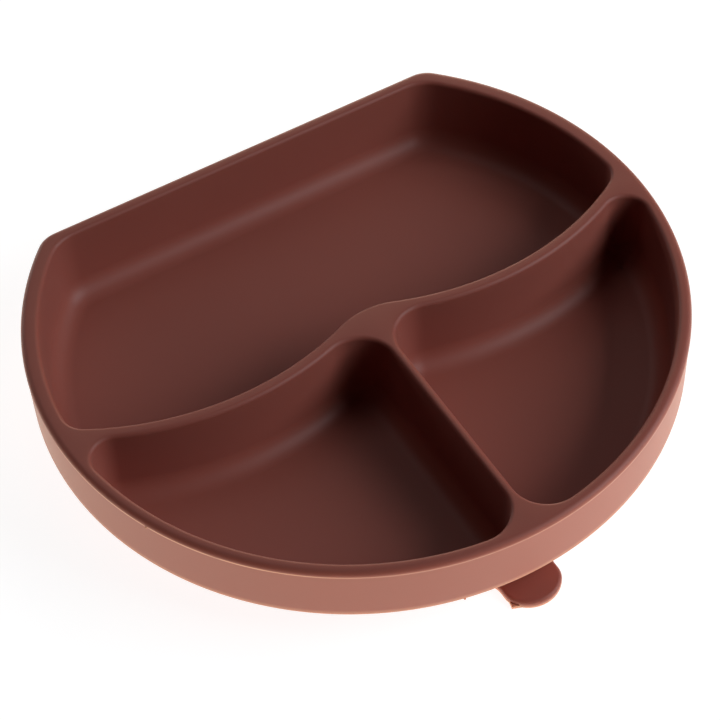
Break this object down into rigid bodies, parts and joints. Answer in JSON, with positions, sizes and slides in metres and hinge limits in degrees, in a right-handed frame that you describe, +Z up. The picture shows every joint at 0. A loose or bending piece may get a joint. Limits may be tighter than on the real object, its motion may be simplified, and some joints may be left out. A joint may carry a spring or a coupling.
{
  "type": "baby suction plate",
  "caption": "D-shaped moulded silicone plate for a small child, with a large bay, two small bays, a suction foot beneath and a pull tab in front.",
  "frame": {"origin": "on the table, under the middle of the outline from the tab's tip to the straight back", "axes": "+X along the straight back, +Y from the pull tab to the straight back, +Z up out of the bays"},
  "size_m": [0.19, 0.1683, 0.0315],
  "materials": {
    "silicone": "matte compression-moulded silicone, warm brown, with a satin sheen on its rounded edges"
  },
  "bodies": {
    "root": {"suction_plate": "silicone"}
  },
  "joints": []
}
